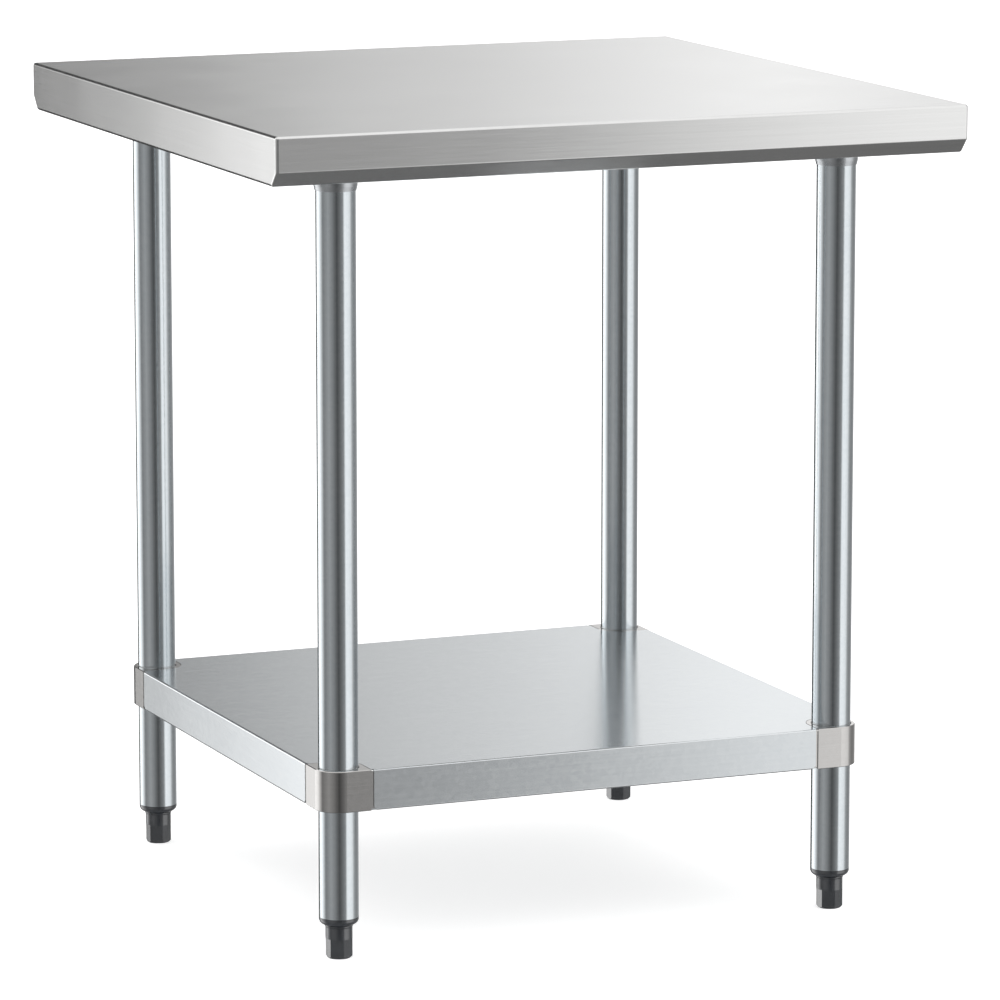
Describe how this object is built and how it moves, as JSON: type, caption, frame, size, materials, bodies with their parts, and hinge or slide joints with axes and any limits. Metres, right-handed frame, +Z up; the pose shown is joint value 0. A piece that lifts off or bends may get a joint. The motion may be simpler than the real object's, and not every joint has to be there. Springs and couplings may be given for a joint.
{
  "type": "work table",
  "caption": "Square stainless steel work table with bevelled edges, round tube legs, a height-adjustable galvanised undershelf and screw-adjustable feet.",
  "frame": {"origin": "on the floor, below the centre of the work top", "axes": "+Z up; +X to the right along the front edge; -Y towards the front bevelled edge"},
  "size_m": [0.762, 0.762, 0.8636],
  "materials": {
    "stainless_sheet": "fine brushed",
    "galvanised_sheet": "satin galvanised",
    "galvanised_tube": "bright galvanised",
    "galvanised_channel": "mill galvanised",
    "galvanised_socket": "zinc plated",
    "polished_clamp": "polished",
    "zinc_fasteners": "zinc plated",
    "zinc_stud": "zinc plated thread",
    "charcoal_plastic": "moulded, soft sheen"
  },
  "bodies": {
    "frame": {"work_top": "stainless_sheet", "top_channel_left": "galvanised_channel", "top_channel_right": "galvanised_channel", "top_channel_cross": "galvanised_channel", "channel_studs": "zinc_fasteners", "channel_nuts": "zinc_fasteners", "socket_set_screws": "zinc_fasteners", "leg_socket_front_left": "galvanised_socket", "leg_socket_front_right": "galvanised_socket", "leg_socket_rear_left": "galvanised_socket", "leg_socket_rear_right": "galvanised_socket", "leg_front_left": "galvanised_tube", "leg_front_right": "galvanised_tube", "leg_rear_left": "galvanised_tube", "leg_rear_right": "galvanised_tube", "foot_insert_front_left": "charcoal_plastic", "foot_insert_front_right": "charcoal_plastic", "foot_insert_rear_left": "charcoal_plastic", "foot_insert_rear_right": "charcoal_plastic"},
    "shelf": {"undershelf": "galvanised_sheet", "shelf_channel": "galvanised_channel", "shelf_set_screws": "zinc_fasteners", "shelf_corner_front_left": "polished_clamp", "shelf_corner_front_right": "polished_clamp", "shelf_corner_rear_left": "polished_clamp", "shelf_corner_rear_right": "polished_clamp"},
    "foot_lift_front_left": {"foot_ring_front_left": "charcoal_plastic"},
    "foot_screw_front_left": {"foot_front_left": "charcoal_plastic", "foot_stud_front_left": "zinc_stud"},
    "foot_lift_front_right": {"foot_ring_front_right": "charcoal_plastic"},
    "foot_screw_front_right": {"foot_front_right": "charcoal_plastic", "foot_stud_front_right": "zinc_stud"},
    "foot_lift_rear_left": {"foot_ring_rear_left": "charcoal_plastic"},
    "foot_screw_rear_left": {"foot_rear_left": "charcoal_plastic", "foot_stud_rear_left": "zinc_stud"},
    "foot_lift_rear_right": {"foot_ring_rear_right": "charcoal_plastic"},
    "foot_screw_rear_right": {"foot_rear_right": "charcoal_plastic", "foot_stud_rear_right": "zinc_stud"}
  },
  "joints": [
    {"name": "shelf_height", "type": "slide", "parent": "frame", "child": "shelf", "axis": [0, 0, 1], "range_m": [-0.1, 0.55]},
    {"name": "foot_lift_front_left", "type": "slide", "parent": "frame", "child": "foot_lift_front_left", "axis": [0, 0, -1], "range_m": [0, 0.025]},
    {"name": "foot_screw_front_left", "type": "hinge", "parent": "foot_lift_front_left", "child": "foot_screw_front_left", "pos_m": [-0.2794, -0.2794, 0], "axis": [0, 0, -1], "range_deg": [0, 3600]},
    {"name": "foot_lift_front_right", "type": "slide", "parent": "frame", "child": "foot_lift_front_right", "axis": [0, 0, -1], "range_m": [0, 0.025]},
    {"name": "foot_screw_front_right", "type": "hinge", "parent": "foot_lift_front_right", "child": "foot_screw_front_right", "pos_m": [0.2794, -0.2794, 0], "axis": [0, 0, -1], "range_deg": [0, 3600]},
    {"name": "foot_lift_rear_left", "type": "slide", "parent": "frame", "child": "foot_lift_rear_left", "axis": [0, 0, -1], "range_m": [0, 0.025]},
    {"name": "foot_screw_rear_left", "type": "hinge", "parent": "foot_lift_rear_left", "child": "foot_screw_rear_left", "pos_m": [-0.2794, 0.2794, 0], "axis": [0, 0, -1], "range_deg": [0, 3600]},
    {"name": "foot_lift_rear_right", "type": "slide", "parent": "frame", "child": "foot_lift_rear_right", "axis": [0, 0, -1], "range_m": [0, 0.025]},
    {"name": "foot_screw_rear_right", "type": "hinge", "parent": "foot_lift_rear_right", "child": "foot_screw_rear_right", "pos_m": [0.2794, 0.2794, 0], "axis": [0, 0, -1], "range_deg": [0, 3600]}
  ],
  "couplings": [
    {"joint": "foot_screw_front_left", "follows": "foot_lift_front_left", "rad_per_m": 2513.3},
    {"joint": "foot_screw_front_right", "follows": "foot_lift_front_right", "rad_per_m": 2513.3},
    {"joint": "foot_screw_rear_left", "follows": "foot_lift_rear_left", "rad_per_m": 2513.3},
    {"joint": "foot_screw_rear_right", "follows": "foot_lift_rear_right", "rad_per_m": 2513.3}
  ]
}
